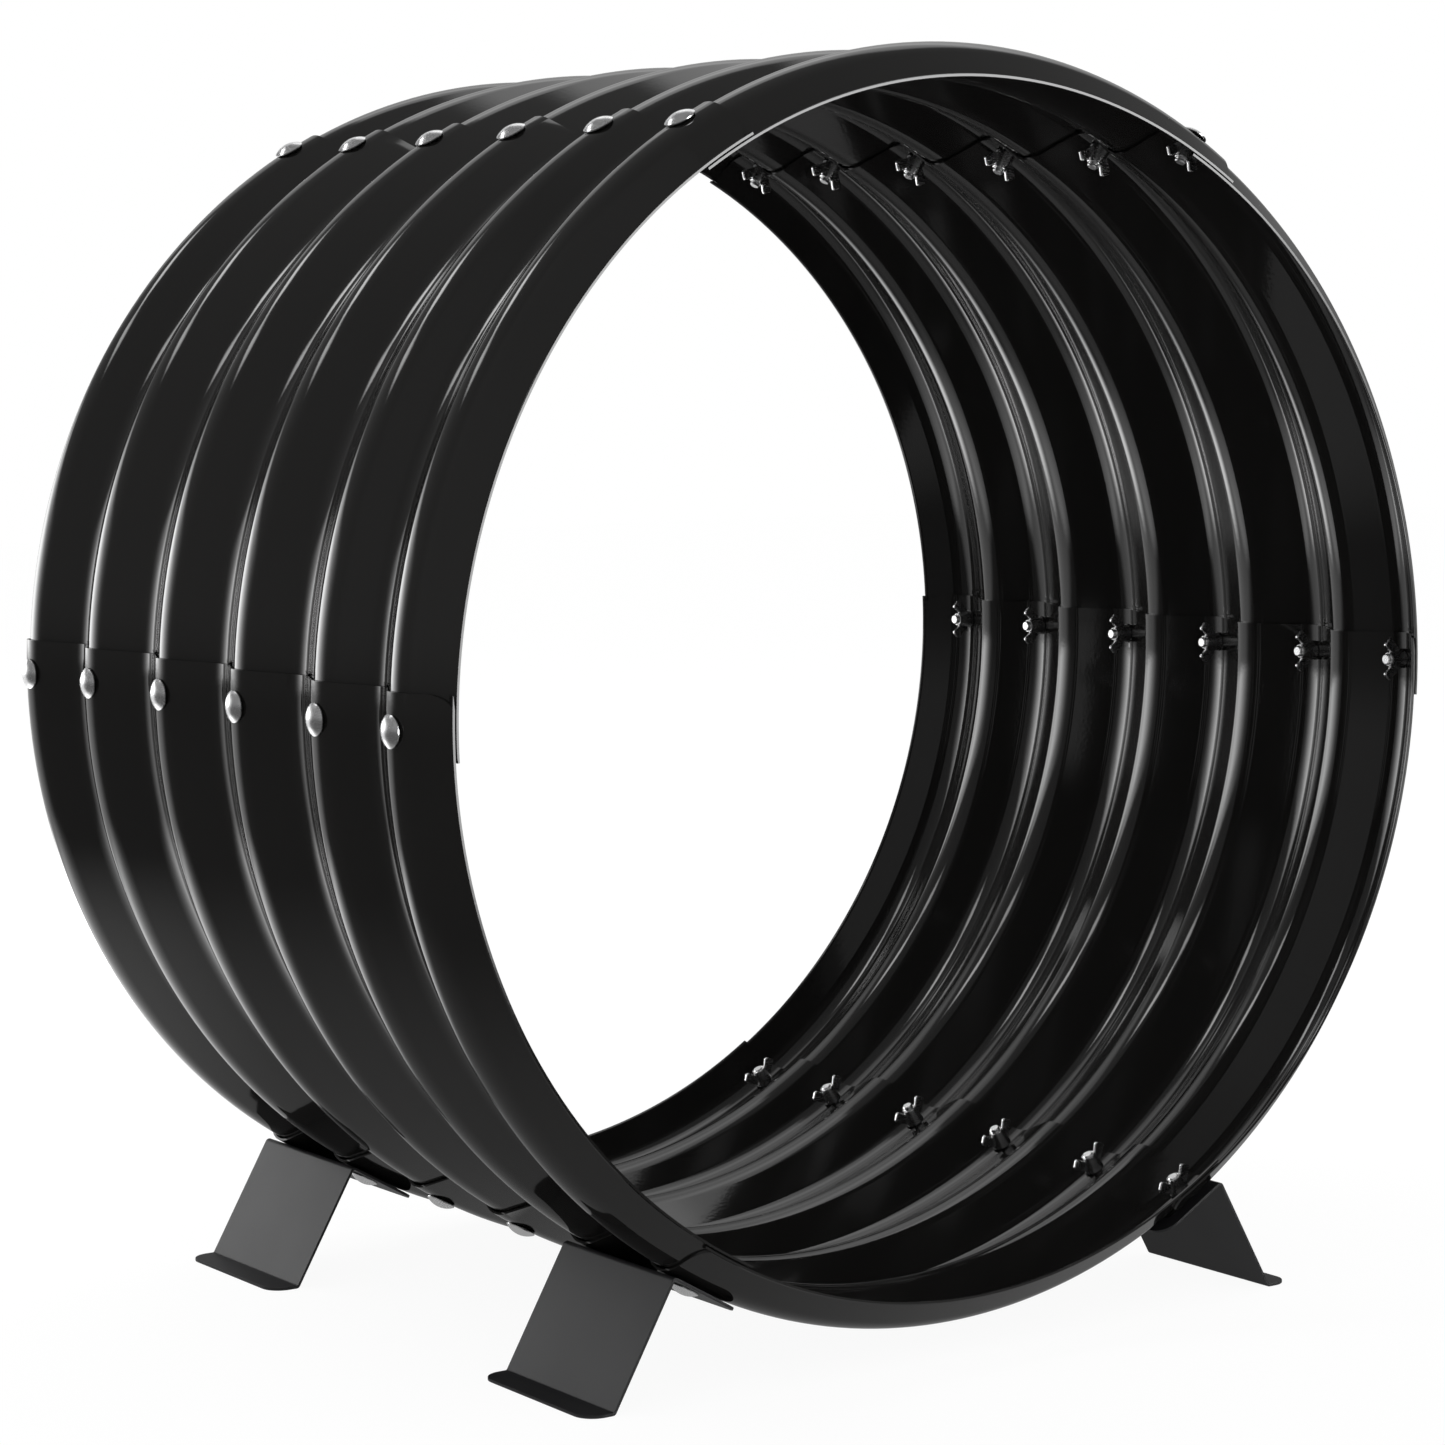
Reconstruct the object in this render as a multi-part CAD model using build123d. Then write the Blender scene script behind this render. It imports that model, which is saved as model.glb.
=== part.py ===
import os
from collections import namedtuple
from math import asin, atan2, cos, degrees, hypot, radians, sin, sqrt

from build123d import *

# A round firewood rack: six corrugated panels lapped and bolted into a ring on four bent-sheet feet.
# The ring's axis lies along Y, the front is -Y, and the feet stand on Z = 0. Lengths are in millimetres.

# The corrugated sheet, measured on its outside
crest_radius = 326.0
wave_depth = 17.3
crest_pitch = 80.0
end_pitch = 70.0
rim_run = 26.0
crest_bend = 17.0
lip_bend = 4.0
lip_flat = 1.0
sheet = 1.2

# The laps between the panels, named from the front, counting up from the right-hand seam
panel_names = ["upper_right", "top", "upper_left", "lower_left", "bottom", "lower_right"]
seam_names = ["right", "upper_right", "upper_left", "left", "lower_left", "lower_right"]
lap_length = 33.0
lap_clearance = 0.2
corner_radius = 10.0

# Bolts and wing nuts
bolt_diameter = 6.0
bolt_length = 16.0
hole_clearance = 0.3
thread_clearance = 0.05
head_diameter = 16.0
head_height = 3.6
head_edge = 0.8
nut_base_diameter = 11.0
nut_top_diameter = 8.0
nut_height = 9.5
wing_span = 25.0
wing_height = 12.8
wing_thickness = 2.0
wing_root_low = 1.4
wing_root_high = 7.1
wing_lobe = 4.5
wing_tip_radius = 1.6
seat_clearance = 0.05

# Feet
floor_gap = 11.5
foot_width = 97.0
foot_sheet = 1.5
foot_bend = 1.0
flange_reach = 28.5
leg_offset = 18.3
toe_length = 16.0
foot_corner_radius = 11.0

# Places that follow from the sizes above
seam_step = 360.0 / len(panel_names)
axis_height = floor_gap + crest_radius
inner_crests = [-1.5 * crest_pitch, -0.5 * crest_pitch, 0.5 * crest_pitch, 1.5 * crest_pitch]
crests = [inner_crests[0] - end_pitch, *inner_crests, inner_crests[-1] + end_pitch]
rim = crests[-1] + rim_run
foot_crests = {"front": crests[:2], "rear": crests[-2:]}
left_foot_seam = seam_names.index("lower_left") * seam_step
turn = Axis((0, 0, 0), (0, -1, 0))

# One rounded bend of the wave: its centre in the (y, radius) plane, and which way it bulges
Bend = namedtuple("Bend", "y r radius bulge")


def wave_bends():
    valley_bend = crest_bend - sheet
    valley_r = crest_radius - wave_depth + valley_bend
    lip_r = crest_radius - wave_depth + lip_bend
    wave = [Bend(-rim + lip_flat, lip_r, lip_bend, -1)]
    for y, following in zip(crests, crests[1:]):
        wave.append(Bend(y, crest_radius - crest_bend, crest_bend, 1))
        wave.append(Bend((y + following) / 2, valley_r, valley_bend, -1))
    wave.append(Bend(crests[-1], crest_radius - crest_bend, crest_bend, 1))
    wave.append(Bend(rim - lip_flat, lip_r, lip_bend, -1))
    return wave


def flank_slope(first, second):
    # A straight flank crosses over between its two bends and is tangent to both
    run = second.y - first.y
    rise = second.r - first.r
    swing = asin((first.radius + second.radius) / hypot(run, rise))
    return atan2(rise, run) - first.bulge * swing


def bend_apex(bend, slope_in, slope_out):
    # Where the two flanks of a bend would meet if they were not rounded
    reach = bend.bulge * bend.radius / cos((slope_out - slope_in) / 2)
    lean = (slope_in + slope_out) / 2
    return (bend.r + reach * cos(lean), bend.y - reach * sin(lean))


bends = wave_bends()
slopes = [flank_slope(first, second) for first, second in zip(bends, bends[1:])]
# Each panel runs out at one end and in at the other by half of this, so that the laps nest on their flanks
lap_rise = (sheet + lap_clearance) / cos(max(abs(slope) for slope in slopes))
# On a crest at a seam: the outside of the outer panel, and the inside of the inner one
lap_outside = crest_radius + lap_rise / 2
lap_inside = crest_radius - lap_rise / 2 - sheet


def wave_profile():
    rim_radius = crest_radius - wave_depth
    apexes = [
        bend_apex(bend, slope_in, slope_out)
        for bend, slope_in, slope_out in zip(bends, [0.0, *slopes], [*slopes, 0.0])
    ]
    radii = [bend.radius for bend in bends]
    outside = FilletPolyline((rim_radius, -rim), *apexes, (rim_radius, rim), radius=radii)
    return make_face(offset(outside, amount=sheet, side=Side.LEFT, closed=True))


def seam_plane(angle, y, radius):
    # On the ring at a seam, Z out of the ring and X along its axis
    out = Vector(cos(radians(angle)), 0, sin(radians(angle)))
    return Plane(origin=out * radius + Vector(0, y, 0), x_dir=(0, 1, 0), z_dir=out)


def bolt_holes(angle, ys):
    hole = Cylinder(bolt_diameter / 2 + hole_clearance, 2 * wave_depth)
    return [seam_plane(angle, y, crest_radius).location * hole for y in ys]


def corner_waste(angle, y):
    # What lies outside the quarter circle at a panel's corner, straight through the sheet
    into_x = corner_radius if y < 0 else -corner_radius
    into_y = corner_radius if angle < 0 else -corner_radius
    waste = Rectangle(2 * corner_radius, 2 * corner_radius) - Pos(into_x, into_y) * Circle(corner_radius)
    waste = extrude(waste, 2 * wave_depth, both=True)
    return seam_plane(angle, y, crest_radius).location * waste


def make_panel():
    # One panel with its middle at +X; its upper end runs in, its lower end runs out
    half_span = seam_step / 2 + degrees(lap_length / 2 / crest_radius)
    panel = revolve(wave_profile(), turn, revolution_arc=2 * half_span)
    panel = Pos(0, 0, -lap_rise) * panel.rotate(turn, -half_span)
    waste = []
    for side in (-1, 1):
        waste += bolt_holes(side * seam_step / 2, crests)
        waste += [Pos(0, 0, -lap_rise) * corner_waste(side * half_span, y) for y in (-rim, rim)]
    return (panel - waste).fix()


def make_bolt():
    # Under-head face on Z = 0, domed head above it
    half = head_diameter / 2
    rise = head_height - head_edge
    dome_radius = (half**2 + rise**2) / (2 * rise)
    with BuildPart() as bolt:
        with BuildSketch(Plane.XZ):
            with BuildLine():
                RadiusArc((half, head_edge), (0, head_height), -dome_radius)
                Polyline((0, head_height), (0, -bolt_length), (bolt_diameter / 2, -bolt_length),
                         (bolt_diameter / 2, 0), (half, 0), (half, head_edge))
            make_face()
        revolve(axis=Axis.Z)
    return bolt.part


def make_wing_nut():
    # Seat on Z = 0, wings along X
    bore = bolt_diameter / 2 + thread_clearance
    root = (bore + nut_top_diameter / 2) / 2
    tip = wing_span / 2
    hub = Cone(nut_base_diameter / 2, nut_top_diameter / 2, nut_height,
               align=(Align.CENTER, Align.CENTER, Align.MIN))
    outline = Polyline((root, wing_root_low), (nut_base_diameter / 2, wing_root_low),
                       (tip, wing_height - wing_lobe), (tip - wing_lobe, wing_height),
                       (root, wing_root_high), close=True)
    wing = make_face(Plane.XZ * outline)
    wing = fillet(wing.vertices().sort_by(Axis.X)[-2:], wing_tip_radius)
    wing = extrude(wing, wing_thickness / 2, both=True)
    nut = hub + wing + mirror(wing, about=Plane.YZ)
    return nut - Cylinder(bore, 2 * (nut_height + wing_height))


def make_foot(ys):
    # The left foot: a flange under the ring, a leg square to it, and a toe flat on the floor
    out = seam_plane(left_foot_seam, 0, 1).z_dir
    along = Vector(-out.Z, 0, out.X)
    section = Plane(origin=out * lap_outside + Vector(0, min(ys), 0), x_dir=along, z_dir=(0, 1, 0))
    toe_top = axis_height - foot_sheet
    leg_end = (toe_top + along.Z * -leg_offset) / -out.Z - lap_outside
    toe_end = (-leg_offset - toe_length * along.X, leg_end - toe_length * out.X)
    upper_side = FilletPolyline((flange_reach, seat_clearance), (-leg_offset, seat_clearance),
                                (-leg_offset, leg_end), toe_end,
                                radius=[foot_bend + foot_sheet, foot_bend])
    blank = make_face(offset(upper_side, amount=foot_sheet, side=Side.RIGHT, closed=True))
    overhang = (foot_width - (max(ys) - min(ys))) / 2
    foot = extrude(section * Pos(0, 0, -overhang) * blank, foot_width)
    # Its shortest straight edges cross the sheet at the corners of the flange and of the toe
    corners = foot.edges().filter_by(GeomType.LINE).group_by(SortBy.LENGTH)[0]
    foot = fillet(corners, foot_corner_radius)
    return foot - bolt_holes(left_foot_seam, ys)


def head_seat(seam_name, y):
    # The under-head radius: on the outer panel, or on a foot's flange where there is one
    on_foot = seam_name in ("lower_left", "lower_right") and any(y in ys for ys in foot_crests.values())
    flange = foot_sheet + seat_clearance if on_foot else 0
    return lap_outside + seat_clearance + flange


def nut_seat():
    # The hub's rim rests on the two sides of the groove, clear of its bottom
    groove = crest_bend - sheet
    sag = groove - sqrt(groove**2 - (nut_base_diameter / 2) ** 2)
    return lap_inside - sag - seat_clearance


def save(node, *solids):
    lifted = [Pos(0, 0, axis_height) * solid for solid in solids]
    shape = lifted[0] if len(lifted) == 1 else Compound(children=lifted)
    export_step(shape, f"parts/{node}.step")


os.makedirs("parts", exist_ok=True)

panel = make_panel()
for index, name in enumerate(panel_names):
    middle = (index + 0.5) * seam_step
    save(f"panel_{name}", panel.rotate(turn, middle))

for place, ys in foot_crests.items():
    left_foot = make_foot(ys)
    save(f"foot_{place}_left", left_foot)
    save(f"foot_{place}_right", mirror(left_foot, about=Plane.YZ))

bolt = make_bolt()
# The nuts point at the ring's axis, with their wings across the grooves' ends
wing_nut = Rot(180, 0, 90) * make_wing_nut()
for index, name in enumerate(seam_names):
    seam = index * seam_step
    bolts = [seam_plane(seam, y, head_seat(name, y)).location * bolt for y in crests]
    wing_nuts = [seam_plane(seam, y, nut_seat()).location * wing_nut for y in crests]
    save(f"bolts_{name}", *bolts)
    save(f"wing_nuts_{name}", *wing_nuts)
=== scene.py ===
import math
from collections import namedtuple

import bpy
from mathutils import Matrix, Vector


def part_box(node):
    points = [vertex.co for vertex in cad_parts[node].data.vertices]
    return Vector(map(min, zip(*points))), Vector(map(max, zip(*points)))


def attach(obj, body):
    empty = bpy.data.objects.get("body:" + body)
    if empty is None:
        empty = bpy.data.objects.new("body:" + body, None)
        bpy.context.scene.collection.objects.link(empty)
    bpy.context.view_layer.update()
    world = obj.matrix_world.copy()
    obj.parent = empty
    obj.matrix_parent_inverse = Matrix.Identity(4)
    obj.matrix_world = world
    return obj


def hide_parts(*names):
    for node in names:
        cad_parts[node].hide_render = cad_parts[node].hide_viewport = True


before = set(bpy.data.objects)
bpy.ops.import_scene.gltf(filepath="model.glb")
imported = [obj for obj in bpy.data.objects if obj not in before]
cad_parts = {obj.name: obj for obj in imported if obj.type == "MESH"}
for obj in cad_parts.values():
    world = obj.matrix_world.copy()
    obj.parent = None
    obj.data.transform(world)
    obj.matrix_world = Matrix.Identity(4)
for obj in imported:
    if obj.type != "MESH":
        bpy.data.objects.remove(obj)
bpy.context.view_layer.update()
scene = bpy.context.scene
print("frame loaded:", len(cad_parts), "nodes")

# names as the frame has them, counting up from the right-hand seam seen from the front
seamNames = ["right", "upper_right", "upper_left", "left", "lower_left", "lower_right"]
panelNames = ["upper_right", "top", "upper_left", "lower_left", "bottom", "lower_right"]
seamStep = math.tau / len(seamNames)
leftFootSeam = seamNames.index("lower_left") * seamStep
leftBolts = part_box("bolts_left")
axisHeight = (leftBolts[0].z + leftBolts[1].z) / 2
ringAxis = Vector((0, 0, axisHeight))
onAxis = Matrix.Translation(ringAxis)

# small lengths that the modelling steps share
workSizes = {
    "startPlane": 0.01,
    "latheWeld": 0.00001,
    "sheetWeld": 0.000001,
    "pickGap": 0.0001,
}


def deselectAll():
    bpy.ops.object.select_all(action="DESELECT")


def onlyActive(piece):
    deselectAll()
    piece.select_set(True)
    bpy.context.view_layer.objects.active = piece


def applyPlace(piece):
    onlyActive(piece)
    bpy.ops.object.transform_apply(location=True, rotation=True, scale=True)


def startVertex(name, place):
    # a plane merged down to the single vertex that a profile is drawn from
    deselectAll()
    bpy.ops.mesh.primitive_plane_add(size=workSizes["startPlane"], location=place)
    piece = bpy.context.object
    piece.name = name
    bpy.ops.object.mode_set(mode="EDIT")
    bpy.ops.mesh.merge(type="CENTER")
    return piece


def extrudeBy(step):
    bpy.ops.mesh.extrude_region_move(TRANSFORM_OT_translate={"value": tuple(step)})


def spinBy(angle, center, axis, steps):
    # the spin operator turns clockwise about its axis, so the axis goes in reversed
    back = tuple(-part for part in axis)
    bpy.ops.mesh.spin(steps=steps, angle=angle, center=tuple(center), axis=back)


def drawCorners(name, corners, y):
    # a line through corners given by X and Z, left in edit mode
    places = [Vector((x, y, z)) for x, z in corners]
    piece = startVertex(name, places[0])
    for at, following in zip(places, places[1:]):
        extrudeBy(following - at)
    return piece


def weldAll(threshold):
    bpy.ops.mesh.select_all(action="SELECT")
    bpy.ops.mesh.remove_doubles(threshold=threshold)


def turnOutwards():
    # ends an edit with every face pointing outwards
    bpy.ops.mesh.select_all(action="SELECT")
    bpy.ops.mesh.normals_make_consistent(inside=False)
    bpy.ops.object.mode_set(mode="OBJECT")


def normalsOut(piece):
    onlyActive(piece)
    bpy.ops.object.mode_set(mode="EDIT")
    turnOutwards()


def lathe(piece, steps):
    # a profile in edit mode, drawn beside the Z axis, becomes a closed turned shape about it
    bpy.ops.mesh.select_all(action="SELECT")
    spinBy(math.tau, (0, 0, 0), (0, 0, 1), steps)
    weldAll(workSizes["latheWeld"])
    turnOutwards()
    applyPlace(piece)


def roundCorners(piece, wanted, radius, steps):
    # rounds the corners of a flat sheet that are picked by their place, and stays in edit mode
    onlyActive(piece)
    bpy.ops.object.mode_set(mode="EDIT")
    bpy.ops.mesh.select_mode(type="VERT")
    bpy.ops.mesh.select_all(action="DESELECT")
    bpy.ops.object.mode_set(mode="OBJECT")
    for vertex in piece.data.vertices:
        vertex.select = wanted(vertex.co)
    bpy.ops.object.mode_set(mode="EDIT")
    bpy.ops.mesh.bevel(affect="VERTICES", offset=radius, segments=steps)


def applyModifier(piece, kind, **values):
    onlyActive(piece)
    modifier = piece.modifiers.new(kind.lower(), kind)
    for key, value in values.items():
        setattr(modifier, key, value)
    bpy.ops.object.modifier_apply(modifier=modifier.name)


def thicken(piece, sizes):
    applyModifier(piece, "SOLIDIFY", thickness=sizes["sheet"], offset=-1, use_even_offset=True)


def roundEdges(piece, sizes):
    applyModifier(piece, "BEVEL", width=sizes["edgeRound"], segments=sizes["edgeSteps"],
                  limit_method="ANGLE", angle_limit=sizes["edgeAngle"])


def smoothByAngle(piece, sizes):
    onlyActive(piece)
    bpy.ops.object.shade_smooth_by_angle(angle=sizes["smoothAngle"])


def joinPieces(pieces, name):
    onlyActive(pieces[0])
    for piece in pieces:
        piece.select_set(True)
    bpy.ops.object.join()
    joined = bpy.context.object
    joined.name = name
    return joined


def cutAway(piece, cutters):
    cutter = joinPieces(cutters, "cutter")
    applyModifier(piece, "BOOLEAN", operation="DIFFERENCE", solver="EXACT", object=cutter)
    bpy.data.objects.remove(cutter)


def holeCutter(radius, depth, place):
    deselectAll()
    bpy.ops.mesh.primitive_cylinder_add(radius=radius, depth=depth)
    hole = bpy.context.object
    hole.matrix_world = place
    applyPlace(hole)
    return hole


def placedCopy(piece, name, place):
    copy = piece.copy()
    copy.data = piece.data.copy()
    copy.name = name
    scene.collection.objects.link(copy)
    copy.matrix_world = place
    applyPlace(copy)
    return copy


def finishPiece(piece, node, material):
    # broad faces keep their own normals, and the small rounds turn between them
    applyModifier(piece, "WEIGHTED_NORMAL", mode="FACE_AREA", weight=50, keep_sharp=True)
    piece.data.materials.clear()
    piece.data.materials.append(material)
    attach(piece, "root")
    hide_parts(node)


def seamPlace(angle, y, radius):
    # a place on the ring: Z points out of the ring, X along its axis
    out = Vector((math.cos(angle), 0, math.sin(angle)))
    along = Vector((0, 1, 0))
    place = Matrix((along, out.cross(along), out)).transposed().to_4x4()
    place.translation = out * radius + along * y
    return place


# corrugated panel, sizes on its outside
panelSizes = {
    "crestRadius": 0.326,
    "waveDepth": 0.0173,
    "innerCrests": 4,
    "crestPitch": 0.080,
    "endPitch": 0.070,
    "rimRun": 0.026,
    "valleyDepth": 0.0142,
    "crestBend": 0.022,
    "endBend": 0.0195,
    "valleyBend": 0.022,
    "endValley": 0.019,
    "lipBend": 0.0015,
    "lipFlat": 0.0005,
    "sheet": 0.0012,
    "lapLength": 0.033,
    "lapRise": 0.002084,
    "cornerRadius": 0.010,
    "cornerSteps": 12,
    "holeRadius": 0.0033,
    "bendStep": math.radians(4),
    "arcSteps": 48,
    "edgeRound": 0.00025,
    "edgeSteps": 2,
    "edgeAngle": math.radians(50),
    "smoothAngle": math.radians(30),
}


def crestPlaces(sizes):
    middle = (sizes["innerCrests"] - 1) / 2
    inner = [(step - middle) * sizes["crestPitch"] for step in range(sizes["innerCrests"])]
    return [inner[0] - sizes["endPitch"]] + inner + [inner[-1] + sizes["endPitch"]]


crests = crestPlaces(panelSizes)
rim = crests[-1] + panelSizes["rimRun"]
rimRadius = panelSizes["crestRadius"] - panelSizes["waveDepth"]
# a bend's centre along the ring's axis and out from it; the bulge is 1 on a crest and -1 in a valley
waveBend = namedtuple("waveBend", "y out radius bulge")


def waveBends(sizes):
    valleyFloor = sizes["crestRadius"] - sizes["valleyDepth"]
    lipY = rim - sizes["lipFlat"]
    lipOut = rimRadius + sizes["lipBend"]
    last = len(crests) - 1
    bends = [waveBend(-lipY, lipOut, sizes["lipBend"], -1)]
    for index, y in enumerate(crests):
        radius = sizes["endBend"] if index in (0, last) else sizes["crestBend"]
        bends.append(waveBend(y, sizes["crestRadius"] - radius, radius, 1))
        if index < last:
            radius = sizes["endValley"] if index in (0, last - 1) else sizes["valleyBend"]
            bends.append(waveBend((y + crests[index + 1]) / 2, valleyFloor + radius, radius, -1))
    bends.append(waveBend(lipY, lipOut, sizes["lipBend"], -1))
    return bends


def flankSlope(first, second):
    # the straight flank between two bends, tangent to both
    run = second.y - first.y
    rise = second.out - first.out
    swing = math.asin((first.radius + second.radius) / math.hypot(run, rise))
    return math.atan2(rise, run) - first.bulge * swing


bends = waveBends(panelSizes)
slopes = [flankSlope(first, second) for first, second in zip(bends, bends[1:])]
# the panels run out at one end and in at the other, so that they nest where they lap
lapOutside = panelSizes["crestRadius"] + panelSizes["lapRise"] / 2
lapInside = panelSizes["crestRadius"] - panelSizes["lapRise"] / 2 - panelSizes["sheet"]


def bendPoint(bend, slope):
    reach = bend.bulge * bend.radius
    return Vector((bend.out + reach * math.cos(slope), bend.y - reach * math.sin(slope), 0))


def drawWave(sizes):
    # the wave from rim to rim, left in edit mode
    at = Vector((rimRadius, -rim, 0))
    panel = startVertex("panelBlank", at)
    for bend, slopeIn, slopeOut in zip(bends, [0] + slopes, slopes + [0]):
        extrudeBy(bendPoint(bend, slopeIn) - at)
        turn = slopeIn - slopeOut
        steps = math.ceil(abs(turn) / sizes["bendStep"])
        spinBy(turn, (bend.out, bend.y, 0), (0, 0, 1), steps)
        at = bendPoint(bend, slopeOut)
    extrudeBy(Vector((rimRadius, rim, 0)) - at)
    return panel


def drawCornerWaste(sizes):
    # what falls away outside the rounded corner, with that corner at the origin and the sheet at +X and +Y
    radius = sizes["cornerRadius"]
    waste = startVertex("cornerWaste", (radius, -radius, 0))
    extrudeBy((0, radius, 0))
    spinBy(-math.pi / 2, (radius, radius, 0), (0, 0, 1), sizes["cornerSteps"])
    extrudeBy((-radius, 0, 0))
    extrudeBy((0, -2 * radius, 0))
    bpy.ops.mesh.select_all(action="SELECT")
    bpy.ops.mesh.edge_face_add()
    extrudeBy((0, 0, 2 * sizes["waveDepth"]))
    bpy.ops.mesh.select_all(action="SELECT")
    bpy.ops.transform.translate(value=(0, 0, -sizes["waveDepth"]))
    bpy.ops.object.mode_set(mode="OBJECT")
    applyPlace(waste)
    return waste


def panelCutters(sizes, halfSpan, drop):
    cutters = []
    corner = drawCornerWaste(sizes)
    for side in (-1, 1):
        for y in (-rim, rim):
            inward = Matrix.Diagonal((math.copysign(1, -y), -side, 1, 1))
            place = drop @ seamPlace(side * halfSpan, y, sizes["crestRadius"]) @ inward
            cutters.append(placedCopy(corner, "waste", place))
        for y in crests:
            place = seamPlace(side * seamStep / 2, y, sizes["crestRadius"])
            cutters.append(holeCutter(sizes["holeRadius"], 2 * sizes["waveDepth"], place))
    bpy.data.objects.remove(corner)
    for cutter in cutters:
        normalsOut(cutter)
    return cutters


def makePanel(sizes):
    panel = drawWave(sizes)
    halfSpan = seamStep / 2 + sizes["lapLength"] / 2 / sizes["crestRadius"]
    bpy.ops.mesh.select_all(action="SELECT")
    spinBy(2 * halfSpan, (0, 0, 0), (0, -1, 0), sizes["arcSteps"])
    weldAll(workSizes["sheetWeld"])
    turnOutwards()
    applyPlace(panel)
    middleFace = panel.data.polygons[len(panel.data.polygons) // 2]
    if middleFace.normal.dot(Vector((middleFace.center.x, 0, middleFace.center.z))) < 0:
        panel.data.flip_normals()
    drop = Matrix.Translation((0, 0, -sizes["lapRise"]))
    panel.matrix_world = drop @ Matrix.Rotation(halfSpan, 4, "Y")
    applyPlace(panel)
    thicken(panel, sizes)
    cutAway(panel, panelCutters(sizes, halfSpan, drop))
    roundEdges(panel, sizes)
    smoothByAngle(panel, sizes)
    return panel


# domed bolt: the underside of its head lies on Z = 0 and its shank points down
boltSizes = {
    "headRadius": 0.008,
    "headHeight": 0.0036,
    "headEdge": 0.0008,
    "edgeRound": 0.0003,
    "shankRadius": 0.003,
    "length": 0.016,
    "plainLength": 0.004,
    "pitch": 0.001,
    "threadDepth": 0.00045,
    "threadFlank": 0.4,  # share of the pitch
    "threadFlat": 0.1,  # share of the pitch
    "tipChamfer": 0.0006,
    "domeSteps": 10,
    "turnSteps": 32,
    "smoothAngle": math.radians(28),
    "seatGap": 0.00005,
}


def makeBolt(sizes):
    rise = sizes["headHeight"] - sizes["headEdge"]
    domeRadius = (sizes["headRadius"] ** 2 + rise**2) / (2 * rise)
    domeCentre = (0, 0, sizes["headHeight"] - domeRadius)
    bolt = startVertex("boltBlank", (0, 0, sizes["headHeight"]))
    spinBy(math.asin(sizes["headRadius"] / domeRadius), domeCentre, (0, 1, 0), sizes["domeSteps"])
    extrudeBy((0, 0, sizes["edgeRound"] - sizes["headEdge"]))
    extrudeBy((-sizes["edgeRound"], 0, -sizes["edgeRound"]))
    extrudeBy((sizes["shankRadius"] + sizes["edgeRound"] - sizes["headRadius"], 0, 0))
    extrudeBy((0, 0, -sizes["plainLength"]))
    threadLength = sizes["length"] - sizes["plainLength"] - sizes["tipChamfer"]
    for turn in range(math.floor(threadLength / sizes["pitch"])):
        for step in (-sizes["threadDepth"], sizes["threadDepth"]):
            extrudeBy((step, 0, -sizes["threadFlank"] * sizes["pitch"]))
            extrudeBy((0, 0, -sizes["threadFlat"] * sizes["pitch"]))
    extrudeBy((0, 0, -(threadLength % sizes["pitch"])))
    extrudeBy((-sizes["tipChamfer"], 0, -sizes["tipChamfer"]))
    extrudeBy((sizes["tipChamfer"] - sizes["shankRadius"], 0, 0))
    lathe(bolt, sizes["turnSteps"])
    smoothByAngle(bolt, sizes)
    return bolt


# wing nut: its seat lies on Z = 0 and its wings stand along X
nutSizes = {
    "baseRadius": 0.0055,
    "topRadius": 0.004,
    "height": 0.0095,
    "boreRadius": 0.00305,
    "boreChamfer": 0.0004,
    "rimRound": 0.0007,
    "rimMiddle": 0.3,  # share of the rim's round
    "span": 0.025,
    "wingHeight": 0.0128,
    "wingThickness": 0.002,
    "rootLow": 0.0014,
    "rootHigh": 0.0071,
    "lobe": 0.0045,
    "tipRound": 0.0017,
    "tipSteps": 6,
    "edgeRound": 0.00055,
    "edgeSteps": 3,
    "edgeAngle": math.radians(60),
    "turnSteps": 32,
    "smoothAngle": math.radians(32),
    "seatGap": 0.00005,
    "seatSag": 0.00099,
}


def makeHub(sizes):
    bore = sizes["boreRadius"]
    chamfer = sizes["boreChamfer"]
    height = sizes["height"]
    rimRound = sizes["rimRound"]
    inset = sizes["rimMiddle"] * rimRound
    corners = [
        (bore, chamfer),
        (bore, height - chamfer),
        (bore + chamfer, height),
        (sizes["topRadius"] - rimRound, height),
        (sizes["topRadius"] - inset, height - inset),
        (sizes["topRadius"], height - rimRound),
        (sizes["baseRadius"], rimRound),
        (sizes["baseRadius"], 0),
        (bore + chamfer, 0),
        (bore, chamfer),
    ]
    hub = drawCorners("hubBlank", corners, 0)
    lathe(hub, sizes["turnSteps"])
    return hub


def makeWing(sizes):
    root = (sizes["boreRadius"] + sizes["topRadius"]) / 2
    tip = sizes["span"] / 2
    lobeStart = tip - sizes["lobe"]
    corners = [
        (root, sizes["rootLow"]),
        (sizes["baseRadius"], sizes["rootLow"]),
        (tip, sizes["wingHeight"] - sizes["lobe"]),
        (lobeStart, sizes["wingHeight"]),
        (root, sizes["rootHigh"]),
    ]
    wing = drawCorners("wingBlank", corners, -sizes["wingThickness"] / 2)
    bpy.ops.mesh.select_all(action="SELECT")
    bpy.ops.mesh.edge_face_add()
    bpy.ops.object.mode_set(mode="OBJECT")
    applyPlace(wing)
    roundCorners(wing, lambda place: place.x > lobeStart - workSizes["pickGap"],
                 sizes["tipRound"], sizes["tipSteps"])
    bpy.ops.mesh.select_all(action="SELECT")
    extrudeBy((0, sizes["wingThickness"], 0))
    turnOutwards()
    roundEdges(wing, sizes)
    return wing


def makeWingNut(sizes):
    nut = makeHub(sizes)
    for turn in (0, math.pi):
        wing = makeWing(sizes)
        wing.matrix_world = Matrix.Rotation(turn, 4, "Z")
        applyPlace(wing)
        applyModifier(nut, "BOOLEAN", operation="UNION", solver="EXACT", object=wing)
        bpy.data.objects.remove(wing)
    smoothByAngle(nut, sizes)
    return nut


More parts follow.
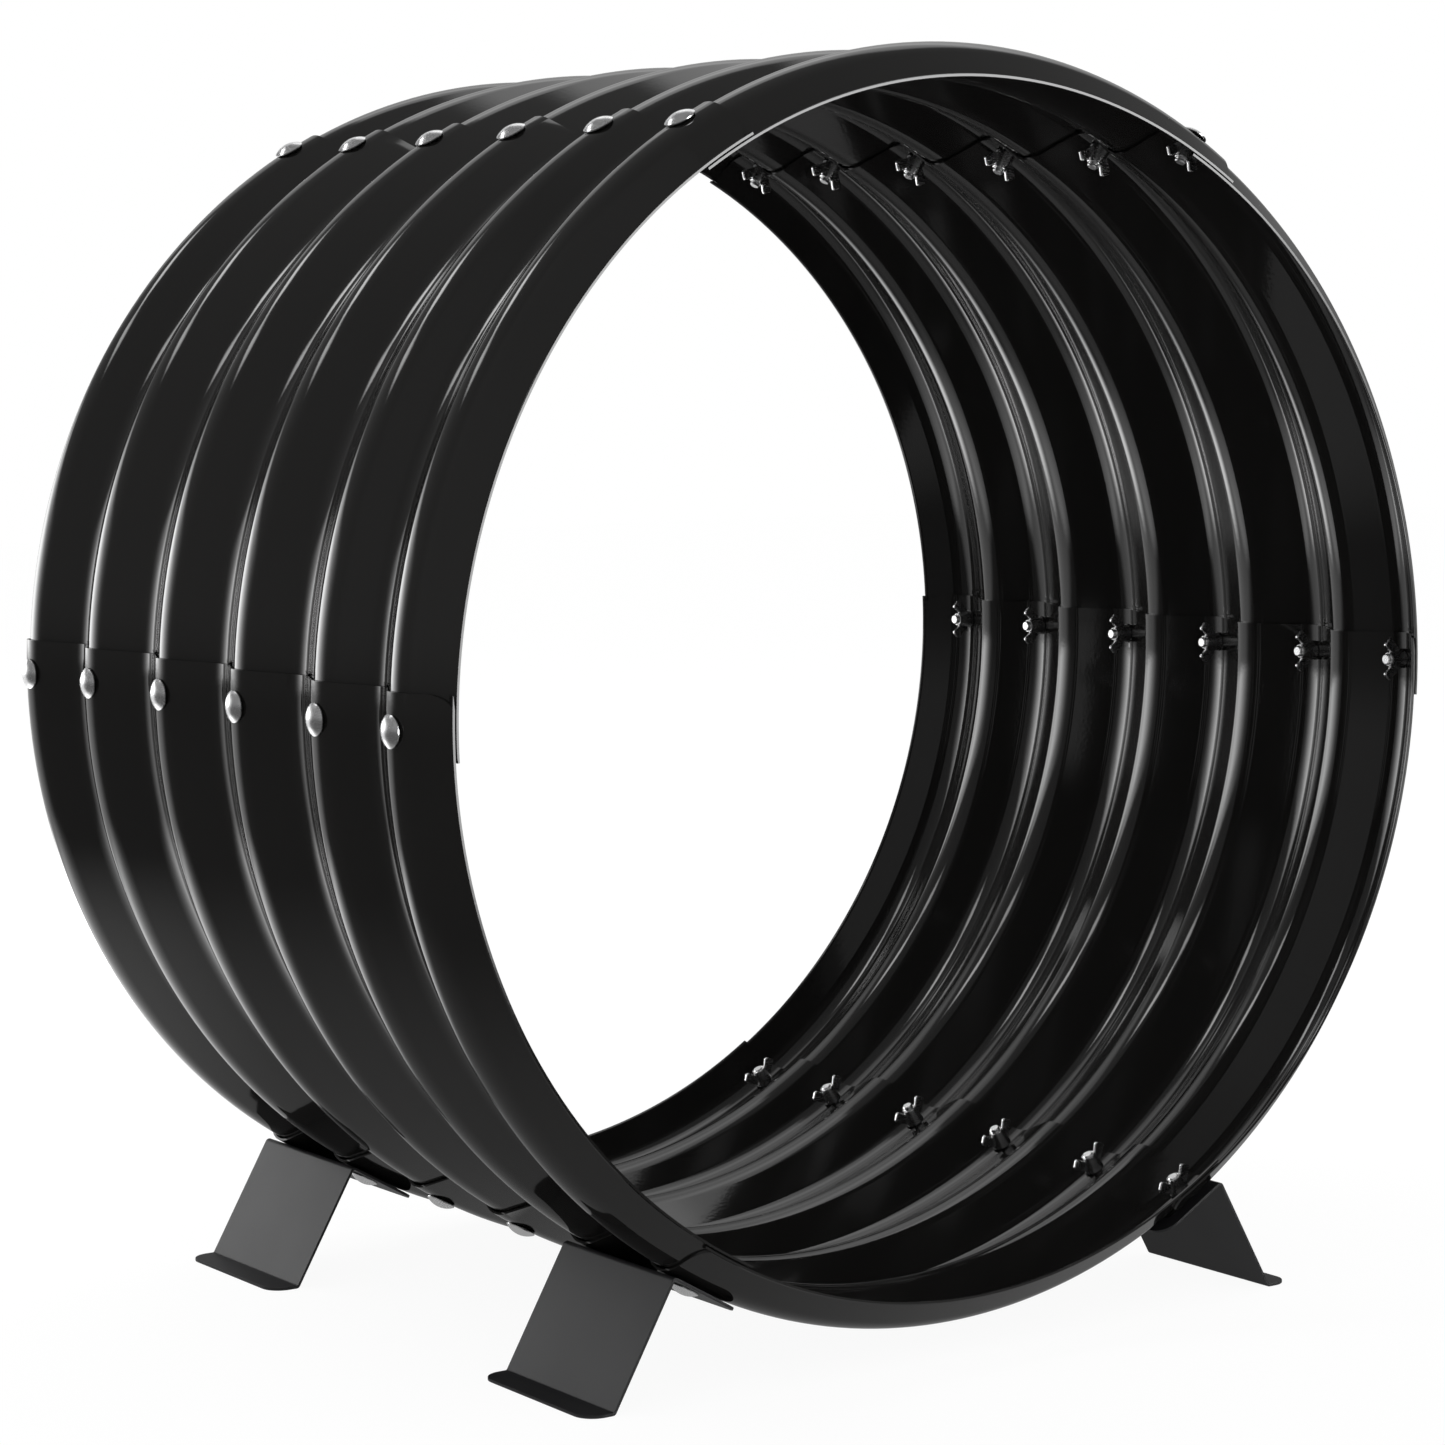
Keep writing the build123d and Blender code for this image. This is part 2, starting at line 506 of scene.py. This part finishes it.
# foot: a flange under the ring, a leg square to it and a toe flat on the floor, bent from one sheet
footSizes = {
    "width": 0.097,
    "sheet": 0.0015,
    "bend": 0.001,
    "flangeReach": 0.0285,
    "legOffset": 0.0183,
    "toeLength": 0.016,
    "cornerRadius": 0.011,
    "cornerSteps": 10,
    "holeRadius": 0.0033,
    "holeDepth": 0.012,
    "bendSteps": 6,
    "edgeRound": 0.0002,
    "edgeSteps": 2,
    "edgeAngle": math.radians(50),
    "smoothAngle": math.radians(30),
    "seatGap": 0.00005,
}


def makeFoot(sizes, ys):
    out = Vector((math.cos(leftFootSeam), 0, math.sin(leftFootSeam)))
    along = Vector((-out.z, 0, out.x))
    toeWay = Vector((-1, 0, 0))
    # the leg stands square to the flange and comes down at 60 degrees to the floor
    flangeTurn = math.pi / 2
    toeTurn = math.pi / 3
    seat = ringAxis + out * (lapOutside + sizes["seatGap"])
    bendTop = seat - along * sizes["legOffset"]
    # down the leg to the upper side of the toe
    legLength = (sizes["sheet"] - bendTop.z) / out.z
    bendFoot = bendTop + out * legLength
    outer = sizes["bend"] + sizes["sheet"]
    inner = sizes["bend"]
    lead = inner * math.tan(toeTurn / 2)
    side = Vector((0, (ys[0] + ys[1]) / 2 - sizes["width"] / 2, 0))
    start = seat + along * sizes["flangeReach"] + side
    foot = startVertex("footBlank", start)
    extrudeBy(bendTop + along * outer + side - start)
    flangeCentre = bendTop + along * outer + out * outer + side
    spinBy(flangeTurn, flangeCentre, (0, -1, 0), sizes["bendSteps"])
    extrudeBy(out * (legLength - outer - lead))
    toeCentre = bendFoot - out * lead - along * inner + side
    spinBy(-toeTurn, toeCentre, (0, -1, 0), sizes["bendSteps"])
    extrudeBy(toeWay * (sizes["toeLength"] - lead))
    weldAll(workSizes["sheetWeld"])
    bpy.ops.mesh.select_all(action="SELECT")
    extrudeBy((0, sizes["width"], 0))
    bpy.ops.object.mode_set(mode="OBJECT")
    applyPlace(foot)
    flangeEdge = start.x - workSizes["pickGap"]
    toeEdge = (bendFoot + toeWay * sizes["toeLength"]).x + workSizes["pickGap"]
    roundCorners(foot, lambda place: place.x > flangeEdge or place.x < toeEdge,
                 sizes["cornerRadius"], sizes["cornerSteps"])
    turnOutwards()
    flange = max(foot.data.polygons, key=lambda face: face.center.z)
    if flange.normal.dot(out) > 0:
        foot.data.flip_normals()
    thicken(foot, sizes)
    holes = []
    for y in ys:
        place = onAxis @ seamPlace(leftFootSeam, y, lapOutside)
        holes.append(holeCutter(sizes["holeRadius"], sizes["holeDepth"], place))
    cutAway(foot, holes)
    roundEdges(foot, sizes)
    smoothByAngle(foot, sizes)
    return foot


# shared finish effects
def newGroup(name, inputs, outputs):
    group = bpy.data.node_groups.new(name, "ShaderNodeTree")
    for label, value in inputs.items():
        socket = group.interface.new_socket(label, in_out="INPUT", socket_type="NodeSocketFloat")
        socket.default_value = value
    for label in outputs:
        group.interface.new_socket(label, in_out="OUTPUT", socket_type="NodeSocketFloat")
    nodes = group.nodes
    return group, nodes, nodes.new("NodeGroupInput"), nodes.new("NodeGroupOutput")


def groupNode(nodes, group, **values):
    node = nodes.new("ShaderNodeGroup")
    node.node_tree = group
    for label, value in values.items():
        node.inputs[label.replace("_", " ")].default_value = value
    return node


def mathNode(nodes, operation, *values, kind="ShaderNodeMath"):
    node = nodes.new(kind)
    node.operation = operation
    for socket, value in zip(node.inputs, values):
        socket.default_value = value
    return node


def newMaterial(name):
    material = bpy.data.materials.new(name)
    material.use_nodes = True
    tree = material.node_tree
    return material, tree.nodes, tree.links.new


# sprayed finish: fine peel for the bump, and a slow drift of film thickness
sprayEffect = {
    "inputs": {"Peel Scale": 600.0, "Drift Scale": 9.0},
    "peelDetail": 2.0,
    "peelRoughness": 0.4,
    "driftDetail": 3.0,
}


def makeSprayGroup(effect):
    group, nodes, start, end = newGroup("sprayFilm", effect["inputs"], ["Peel", "Drift"])
    link = group.links.new
    coords = nodes.new("ShaderNodeTexCoord")
    peel = nodes.new("ShaderNodeTexNoise")
    peel.inputs["Detail"].default_value = effect["peelDetail"]
    peel.inputs["Roughness"].default_value = effect["peelRoughness"]
    drift = nodes.new("ShaderNodeTexNoise")
    drift.inputs["Detail"].default_value = effect["driftDetail"]
    for label, noise in (("Peel", peel), ("Drift", drift)):
        link(coords.outputs["Object"], noise.inputs["Vector"])
        link(start.outputs[label + " Scale"], noise.inputs["Scale"])
        link(noise.outputs["Fac"], end.inputs[label])
    return group


# faint handling marks: short stretched streaks, thinned out by a slow noise
scuffEffect = {
    "inputs": {"Scale": 60.0, "Spread": 0.5},
    "streakTurn": (0.3, 0.6, 0.9),
    "streakStretch": (1.0, 14.0, 14.0),
    "streakDetail": 4.0,
    "streakFade": (0.58, 0.75),
    "patchScale": 22.0,
}


def makeScuffGroup(effect):
    group, nodes, start, end = newGroup("handlingScuffs", effect["inputs"], ["Scuff"])
    link = group.links.new
    coords = nodes.new("ShaderNodeTexCoord")
    stretch = nodes.new("ShaderNodeMapping")
    stretch.inputs["Rotation"].default_value = effect["streakTurn"]
    stretch.inputs["Scale"].default_value = effect["streakStretch"]
    streaks = nodes.new("ShaderNodeTexNoise")
    streaks.inputs["Detail"].default_value = effect["streakDetail"]
    patches = nodes.new("ShaderNodeTexNoise")
    patches.inputs["Scale"].default_value = effect["patchScale"]
    thin = nodes.new("ShaderNodeMapRange")
    thin.inputs["From Min"].default_value = effect["streakFade"][0]
    thin.inputs["From Max"].default_value = effect["streakFade"][1]
    where = mathNode(nodes, "GREATER_THAN")
    soft = mathNode(nodes, "MULTIPLY")
    link(coords.outputs["Object"], stretch.inputs["Vector"])
    link(stretch.outputs["Vector"], streaks.inputs["Vector"])
    link(coords.outputs["Object"], patches.inputs["Vector"])
    link(start.outputs["Scale"], streaks.inputs["Scale"])
    link(streaks.outputs["Fac"], thin.inputs["Value"])
    link(patches.outputs["Fac"], where.inputs[0])
    link(start.outputs["Spread"], where.inputs[1])
    link(thin.outputs["Result"], soft.inputs[0])
    link(where.outputs["Value"], soft.inputs[1])
    link(soft.outputs["Value"], end.inputs["Scuff"])
    return group


sprayFilm = makeSprayGroup(sprayEffect)
handlingScuffs = makeScuffGroup(scuffEffect)

# gloss black paint on the panels
paintFinish = {
    "metallic": 0.0,
    "specular": 0.5,
    "thinColor": (0.0072, 0.0069, 0.0066),
    "thickColor": (0.0053, 0.0051, 0.0049),
    "roughness": (0.05, 0.08),
    "driftScale": 7.0,
    "scuffRoughness": 0.05,
    "scuffScale": 45.0,
    "scuffSpread": 0.56,
    "peel": 0.02,
    "peelScale": 450.0,
    "peelDepth": 0.0005,
}
# satin charcoal coat on the feet
coatFinish = {
    "metallic": 0.0,
    "specular": 0.25,
    "thinColor": (0.020, 0.020, 0.021),
    "thickColor": (0.014, 0.014, 0.015),
    "roughness": (0.38, 0.46),
    "driftScale": 16.0,
    "scuffRoughness": 0.08,
    "scuffScale": 60.0,
    "scuffSpread": 0.54,
    "peel": 0.12,
    "peelScale": 1600.0,
    "peelDepth": 0.0003,
}
# bright zinc plate on the bolts and wing nuts
zincFinish = {
    "metallic": 1.0,
    "specular": 0.5,
    "thinColor": (0.92, 0.92, 0.92),
    "thickColor": (0.80, 0.80, 0.81),
    "roughness": (0.20, 0.32),
    "driftScale": 180.0,
    "scuffRoughness": 0.15,
    "scuffScale": 240.0,
    "scuffSpread": 0.45,
    "peel": 0.05,
    "peelScale": 2500.0,
    "peelDepth": 0.0001,
}


def makeFinish(name, finish):
    # colour and gloss drift with the film's thickness, and scuffs dull it
    material, nodes, link = newMaterial(name)
    shader = nodes["Principled BSDF"]
    shader.inputs["Metallic"].default_value = finish["metallic"]
    shader.inputs["Specular IOR Level"].default_value = finish["specular"]
    film = groupNode(nodes, sprayFilm, Peel_Scale=finish["peelScale"], Drift_Scale=finish["driftScale"])
    scuffs = groupNode(nodes, handlingScuffs, Scale=finish["scuffScale"], Spread=finish["scuffSpread"])
    color = nodes.new("ShaderNodeMix")
    color.data_type = "RGBA"
    color.inputs["A"].default_value = (*finish["thinColor"], 1)
    color.inputs["B"].default_value = (*finish["thickColor"], 1)
    gloss = nodes.new("ShaderNodeMapRange")
    gloss.inputs["To Min"].default_value = finish["roughness"][0]
    gloss.inputs["To Max"].default_value = finish["roughness"][1]
    worn = mathNode(nodes, "MULTIPLY_ADD", 0, finish["scuffRoughness"])
    bump = nodes.new("ShaderNodeBump")
    bump.inputs["Strength"].default_value = finish["peel"]
    bump.inputs["Distance"].default_value = finish["peelDepth"]
    link(film.outputs["Drift"], color.inputs["Factor"])
    link(color.outputs["Result"], shader.inputs["Base Color"])
    link(film.outputs["Drift"], gloss.inputs["Value"])
    link(scuffs.outputs["Scuff"], worn.inputs[0])
    link(gloss.outputs["Result"], worn.inputs[2])
    link(worn.outputs["Value"], shader.inputs["Roughness"])
    link(film.outputs["Peel"], bump.inputs["Height"])
    link(bump.outputs["Normal"], shader.inputs["Normal"])
    return material


blackPaint = makeFinish("blackPaint", paintFinish)
charcoalCoat = makeFinish("charcoalCoat", coatFinish)
brightZinc = makeFinish("brightZinc", zincFinish)
print("finishes ready")

panelBlank = makePanel(panelSizes)
print("panel:", len(panelBlank.data.polygons), "faces")
for index, name in enumerate(panelNames):
    middle = (index + 0.5) * seamStep
    panel = placedCopy(panelBlank, name + "_panel", onAxis @ Matrix.Rotation(-middle, 4, "Y"))
    finishPiece(panel, "panel_" + name, blackPaint)
bpy.data.objects.remove(panelBlank)
print("panels placed")

footCrests = {"front": crests[:2], "rear": crests[-2:]}
for place, ys in footCrests.items():
    footBlank = makeFoot(footSizes, ys)
    leftFoot = placedCopy(footBlank, place + "_left_foot", Matrix())
    rightFoot = placedCopy(footBlank, place + "_right_foot", Matrix.Diagonal((-1, 1, 1, 1)))
    normalsOut(rightFoot)
    finishPiece(leftFoot, "foot_" + place + "_left", charcoalCoat)
    finishPiece(rightFoot, "foot_" + place + "_right", charcoalCoat)
    bpy.data.objects.remove(footBlank)
print("feet placed")


def headSeat(name, y):
    # on the outer panel, or on a foot's flange where there is one
    onFoot = name in ("lower_left", "lower_right") and (y in footCrests["front"] or y in footCrests["rear"])
    flange = footSizes["sheet"] + footSizes["seatGap"] if onFoot else 0
    return lapOutside + boltSizes["seatGap"] + flange


def nutSeat():
    # the hub's rim rests on both sides of the groove
    return lapInside - nutSizes["seatSag"] - nutSizes["seatGap"]


boltBlank = makeBolt(boltSizes)
nutBlank = makeWingNut(nutSizes)
print("bolt:", len(boltBlank.data.polygons), "faces, wing nut:", len(nutBlank.data.polygons), "faces")
# the nuts point at the ring's axis, with their wings across the grooves
nutTurn = Matrix.Rotation(math.pi / 2, 4, "Z") @ Matrix.Rotation(math.pi, 4, "X")
for index, name in enumerate(seamNames):
    seam = index * seamStep
    bolts = []
    nuts = []
    for y in crests:
        bolts.append(placedCopy(boltBlank, "bolt", onAxis @ seamPlace(seam, y, headSeat(name, y))))
        nuts.append(placedCopy(nutBlank, "nut", onAxis @ seamPlace(seam, y, nutSeat()) @ nutTurn))
    boltRow = joinPieces(bolts, name + "_bolts")
    finishPiece(boltRow, "bolts_" + name, brightZinc)
    nutRow = joinPieces(nuts, name + "_wing_nuts")
    finishPiece(nutRow, "wing_nuts_" + name, brightZinc)
bpy.data.objects.remove(boltBlank)
bpy.data.objects.remove(nutBlank)
print("bolts and wing nuts placed")

# camera, at the photograph's place and angle
cameraSizes = {
    "place": (-1.23206, -1.72345, 0.52085),
    "azimuth": math.radians(-35.37),
    "elevation": math.radians(5.65),
    "roll": math.radians(-0.21),
    "lens": 96.73,
    "sensorWidth": 36,
    "shiftX": 0.0041,
    "shiftY": -0.0062,
}


def makeCamera(sizes):
    deselectAll()
    bpy.ops.object.camera_add()
    camera = bpy.context.object
    camera.name = "camera"
    camera.data.lens = sizes["lens"]
    camera.data.sensor_width = sizes["sensorWidth"]
    camera.data.shift_x = sizes["shiftX"]
    camera.data.shift_y = sizes["shiftY"]
    facing = Matrix.Rotation(sizes["azimuth"], 4, "Z")
    tilt = Matrix.Rotation(math.pi / 2 - sizes["elevation"], 4, "X")
    roll = Matrix.Rotation(sizes["roll"], 4, "Z")
    camera.matrix_world = Matrix.Translation(sizes["place"]) @ (facing @ tilt) @ roll
    scene.camera = camera


makeCamera(cameraSizes)


# studio: white surround, soft lamps behind, and a dim shell that the paint reflects: its glow is seen only
# in reflections, where it paints shade, highlights and pools of light
# bearings run from +Y towards -X, in degrees, and rises run up from the horizon
studioSizes = {
    "fill": 1.0,
    "floorSize": 14.0,
    "floorColor": (0.95, 0.95, 0.95),
    "floorRoughness": 0.9,
    "floorGlow": 0.94,
    "lamps": {
        "highLamp": {"bearing": 27, "rise": 42, "distance": 3.0,
                     "width": 1.9, "height": 0.75, "radiance": 6.0},
        "lowLamp": {"bearing": 10, "rise": 4, "distance": 2.4,
                    "width": 2.0, "height": 0.75, "radiance": 3.0},
        "sideLamp": {"bearing": -45, "rise": 45, "distance": 3.0,
                     "width": 2.8, "height": 1.6, "radiance": 1.5},
    },
}
# a floor spot is a painted pool of light on the shell's floor part, seen only in reflections, and fades out
# between two distances from its centre
# a patch is a painted reflection, a bright one standing in for a softbox's highlight and glint and a dim
# one painting shade; it lies between two bearings and two rises seen from the lookout, and its four edges
# fade over soft
shellSizes = {
    "radius": 2.6,
    "inner": 0.01,
    "lift": 0.0004,
    "domeSteps": 24,
    "turnSteps": 48,
    "lookout": (-0.2, 0.0, axisHeight),
    # the shell's dim base glow, which paints shade into every reflection
    "reflectedGlow": 0.10,
    "floorLightPools": [
        {"centre": (0, 0, 0), "from": 0.35, "to": 0.75, "reflectedGlow": 0.25},
        {"centre": (-0.40, 0.50, 0), "from": 0.05, "to": 0.42, "reflectedGlow": 1.6},
        {"centre": (0.05, 1.08, 0), "from": 0.05, "to": 0.45, "reflectedGlow": 4.5},
    ],
    "patches": [
        {"bearing": (12, 30), "rise": (40, 46), "soft": (5, 3, 1.5, 2), "reflectedGlow": 5.5},
        {"bearing": (30, 46), "rise": (36.5, 42.5), "soft": (3, 5, 1.5, 2), "reflectedGlow": 4.3},
        {"bearing": (-9, 30), "rise": (-3.3, 9.5), "soft": (4, 22, 0.8, 3), "reflectedGlow": 2.5},
        {"bearing": (6, 38), "rise": (-3.3, 15.5), "soft": (8, 24, 0.8, 2.5), "reflectedGlow": 2.0},
        {"bearing": (-15, 40), "rise": (-30, -3.3), "soft": (5, 12, 6, 0.8), "reflectedGlow": 0.75},
        {"bearing": (-72, -19), "rise": (38, 58), "soft": (6, 2, 8, 3), "reflectedGlow": 0.85},
        {"bearing": (-72, -2), "rise": (18, 45), "soft": (6, 4, 10, 4), "reflectedGlow": 0.45},
        {"bearing": (-400, 400), "rise": (0, 120), "soft": (1, 1, 8, 1), "reflectedGlow": 0.11},
        {"bearing": (90, 400), "rise": (0, 70), "soft": (12, 1, 8, 8), "reflectedGlow": 0.06},
        {"bearing": (-155, -132), "rise": (-12, 14), "soft": (4, 4, 4, 4), "reflectedGlow": 10.5},
    ],
}


def towards(bearing, rise):
    flat = math.cos(rise)
    return Vector((-math.sin(bearing) * flat, math.cos(bearing) * flat, math.sin(rise)))


def joinValues(nodes, link, operation, values):
    joined = values[0]
    for value in values[1:]:
        node = mathNode(nodes, operation)
        link(joined, node.inputs[0])
        link(value, node.inputs[1])
        joined = node.outputs["Value"]
    return joined


def scaledValue(nodes, link, value, share):
    node = mathNode(nodes, "MULTIPLY", 0, share)
    link(value, node.inputs[0])
    return node.outputs["Value"]


def softEdge(nodes, link, value, middle, soft, rising):
    node = nodes.new("ShaderNodeMapRange")
    node.interpolation_type = "SMOOTHSTEP"
    node.inputs["From Min"].default_value = middle - soft
    node.inputs["From Max"].default_value = middle + soft
    node.inputs["To Min"].default_value = 0 if rising else 1
    node.inputs["To Max"].default_value = 1 if rising else 0
    link(value, node.inputs["Value"])
    return node.outputs["Result"]


def shownRays(nodes, link):
    # 1 where the camera, a reflection or clear glass looks at the surface, 0 for the light that it sends on
    rays = nodes.new("ShaderNodeLightPath")
    labels = ("Is Camera Ray", "Is Glossy Ray", "Is Transmission Ray")
    return joinValues(nodes, link, "MAXIMUM", [rays.outputs[label] for label in labels])


def makeWorld(sizes):
    # the surround is plain white to the camera and in reflections, and a softer fill for everything else
    world = bpy.data.worlds.new("studio")
    scene.world = world
    world.use_nodes = True
    nodes = world.node_tree.nodes
    link = world.node_tree.links.new
    fill = nodes["Background"]
    white = nodes.new("ShaderNodeBackground")
    for light, strength in ((fill, sizes["fill"]), (white, 1)):
        light.inputs["Color"].default_value = (1, 1, 1, 1)
        light.inputs["Strength"].default_value = strength
    choose = nodes.new("ShaderNodeMixShader")
    link(shownRays(nodes, link), choose.inputs["Fac"])
    link(fill.outputs["Background"], choose.inputs[1])
    link(white.outputs["Background"], choose.inputs[2])
    link(choose.outputs["Shader"], nodes["World Output"].inputs["Surface"])


def makeFloor(sizes):
    # white paper that glows for the camera and in reflections, and still takes the shadow
    deselectAll()
    bpy.ops.mesh.primitive_plane_add(size=sizes["floorSize"])
    floor = bpy.context.object
    floor.name = "floor"
    material, nodes, link = newMaterial("floorPaper")
    paper = nodes["Principled BSDF"]
    paper.inputs["Base Color"].default_value = (*sizes["floorColor"], 1)
    paper.inputs["Roughness"].default_value = sizes["floorRoughness"]
    paper.inputs["Specular IOR Level"].default_value = 0.0
    glow = nodes.new("ShaderNodeEmission")
    glow.inputs["Strength"].default_value = 1
    choose = nodes.new("ShaderNodeMixShader")
    link(scaledValue(nodes, link, shownRays(nodes, link), sizes["floorGlow"]), choose.inputs["Fac"])
    link(paper.outputs["BSDF"], choose.inputs[1])
    link(glow.outputs["Emission"], choose.inputs[2])
    link(choose.outputs["Shader"], nodes["Material Output"].inputs["Surface"])
    floor.data.materials.append(material)


def makeReflectionGlow(sizes):
    # the shell's glow is painted light seen only by reflected rays: a dim base that paints shade, plus
    # bright patches and pools that paint highlights
    material, nodes, link = newMaterial("paintedReflectionGlow")
    material.cycles.emission_sampling = "NONE"
    coords = nodes.new("ShaderNodeTexCoord")
    # bearing and rise of each place on the shell, seen from the lookout
    aim = mathNode(nodes, "SUBTRACT", (0, 0, 0), sizes["lookout"], kind="ShaderNodeVectorMath")
    unit = mathNode(nodes, "NORMALIZE", kind="ShaderNodeVectorMath")
    split = nodes.new("ShaderNodeSeparateXYZ")
    bearing = mathNode(nodes, "ARCTAN2")
    rise = mathNode(nodes, "ARCSINE")
    link(coords.outputs["Object"], aim.inputs[0])
    link(aim.outputs["Vector"], unit.inputs[0])
    link(unit.outputs["Vector"], split.inputs["Vector"])
    link(scaledValue(nodes, link, split.outputs["X"], -1), bearing.inputs[0])
    link(split.outputs["Y"], bearing.inputs[1])
    link(split.outputs["Z"], rise.inputs[0])
    reflectedGlows = []
    for patch in sizes["patches"]:
        edges = []
        spans = zip((bearing, bearing, rise, rise), (*patch["bearing"], *patch["rise"]), patch["soft"])
        for index, (turned, middle, soft) in enumerate(spans):
            edges.append(softEdge(nodes, link, turned.outputs["Value"], math.radians(middle),
                                  math.radians(soft), index % 2 == 0))
        inside = joinValues(nodes, link, "MULTIPLY", edges)
        reflectedGlows.append(scaledValue(nodes, link, inside, patch["reflectedGlow"]))
    for spot in sizes["floorLightPools"]:
        away = mathNode(nodes, "DISTANCE", (0, 0, 0), spot["centre"], kind="ShaderNodeVectorMath")
        link(coords.outputs["Object"], away.inputs[0])
        middle = (spot["from"] + spot["to"]) / 2
        inside = softEdge(nodes, link, away.outputs["Value"], middle, spot["to"] - middle, False)
        reflectedGlows.append(scaledValue(nodes, link, inside, spot["reflectedGlow"]))
    total = mathNode(nodes, "ADD", 0, sizes["reflectedGlow"])
    link(joinValues(nodes, link, "ADD", reflectedGlows), total.inputs[0])
    glow = nodes.new("ShaderNodeEmission")
    link(total.outputs["Value"], glow.inputs["Strength"])
    link(glow.outputs["Emission"], nodes["Material Output"].inputs["Surface"])
    nodes.remove(nodes["Principled BSDF"])
    return material


def makeShell(sizes):
    # a sheet on the floor runs up into a dome, and shows in reflections alone: a painted reflection, dim
    # overall with bright painted patches
    height = axisHeight - sizes["lift"]
    drop = math.asin(height / sizes["radius"])
    shell = startVertex("studioShell", (sizes["inner"], 0, sizes["lift"]))
    extrudeBy((sizes["radius"] * math.cos(drop) - sizes["inner"], 0, 0))
    spinBy(math.pi / 2 + drop, ringAxis, (0, -1, 0), sizes["domeSteps"])
    lathe(shell, sizes["turnSteps"])
    shell.data.materials.append(makeReflectionGlow(sizes))
    shell.visible_camera = False
    shell.visible_diffuse = False
    shell.visible_shadow = False
    shell.visible_transmission = False


def makeLamp(name, box):
    deselectAll()
    bpy.ops.object.light_add(type="AREA")
    lamp = bpy.context.object
    lamp.name = name
    aim = towards(math.radians(box["bearing"]), math.radians(box["rise"]))
    lamp.data.shape = "RECTANGLE"
    lamp.data.size = box["width"]
    lamp.data.size_y = box["height"]
    lamp.data.energy = box["radiance"] * math.pi * box["width"] * box["height"]
    facing = aim.to_track_quat("Z", "Y").to_matrix().to_4x4()
    lamp.matrix_world = Matrix.Translation(ringAxis + aim * box["distance"]) @ facing
    # the shell stands in for it in reflections
    lamp.visible_camera = False
    lamp.visible_glossy = False


makeWorld(studioSizes)
makeFloor(studioSizes)
makeShell(shellSizes)
for name, box in studioSizes["lamps"].items():
    makeLamp(name, box)
scene.view_settings.view_transform = "Standard"
print("studio ready")
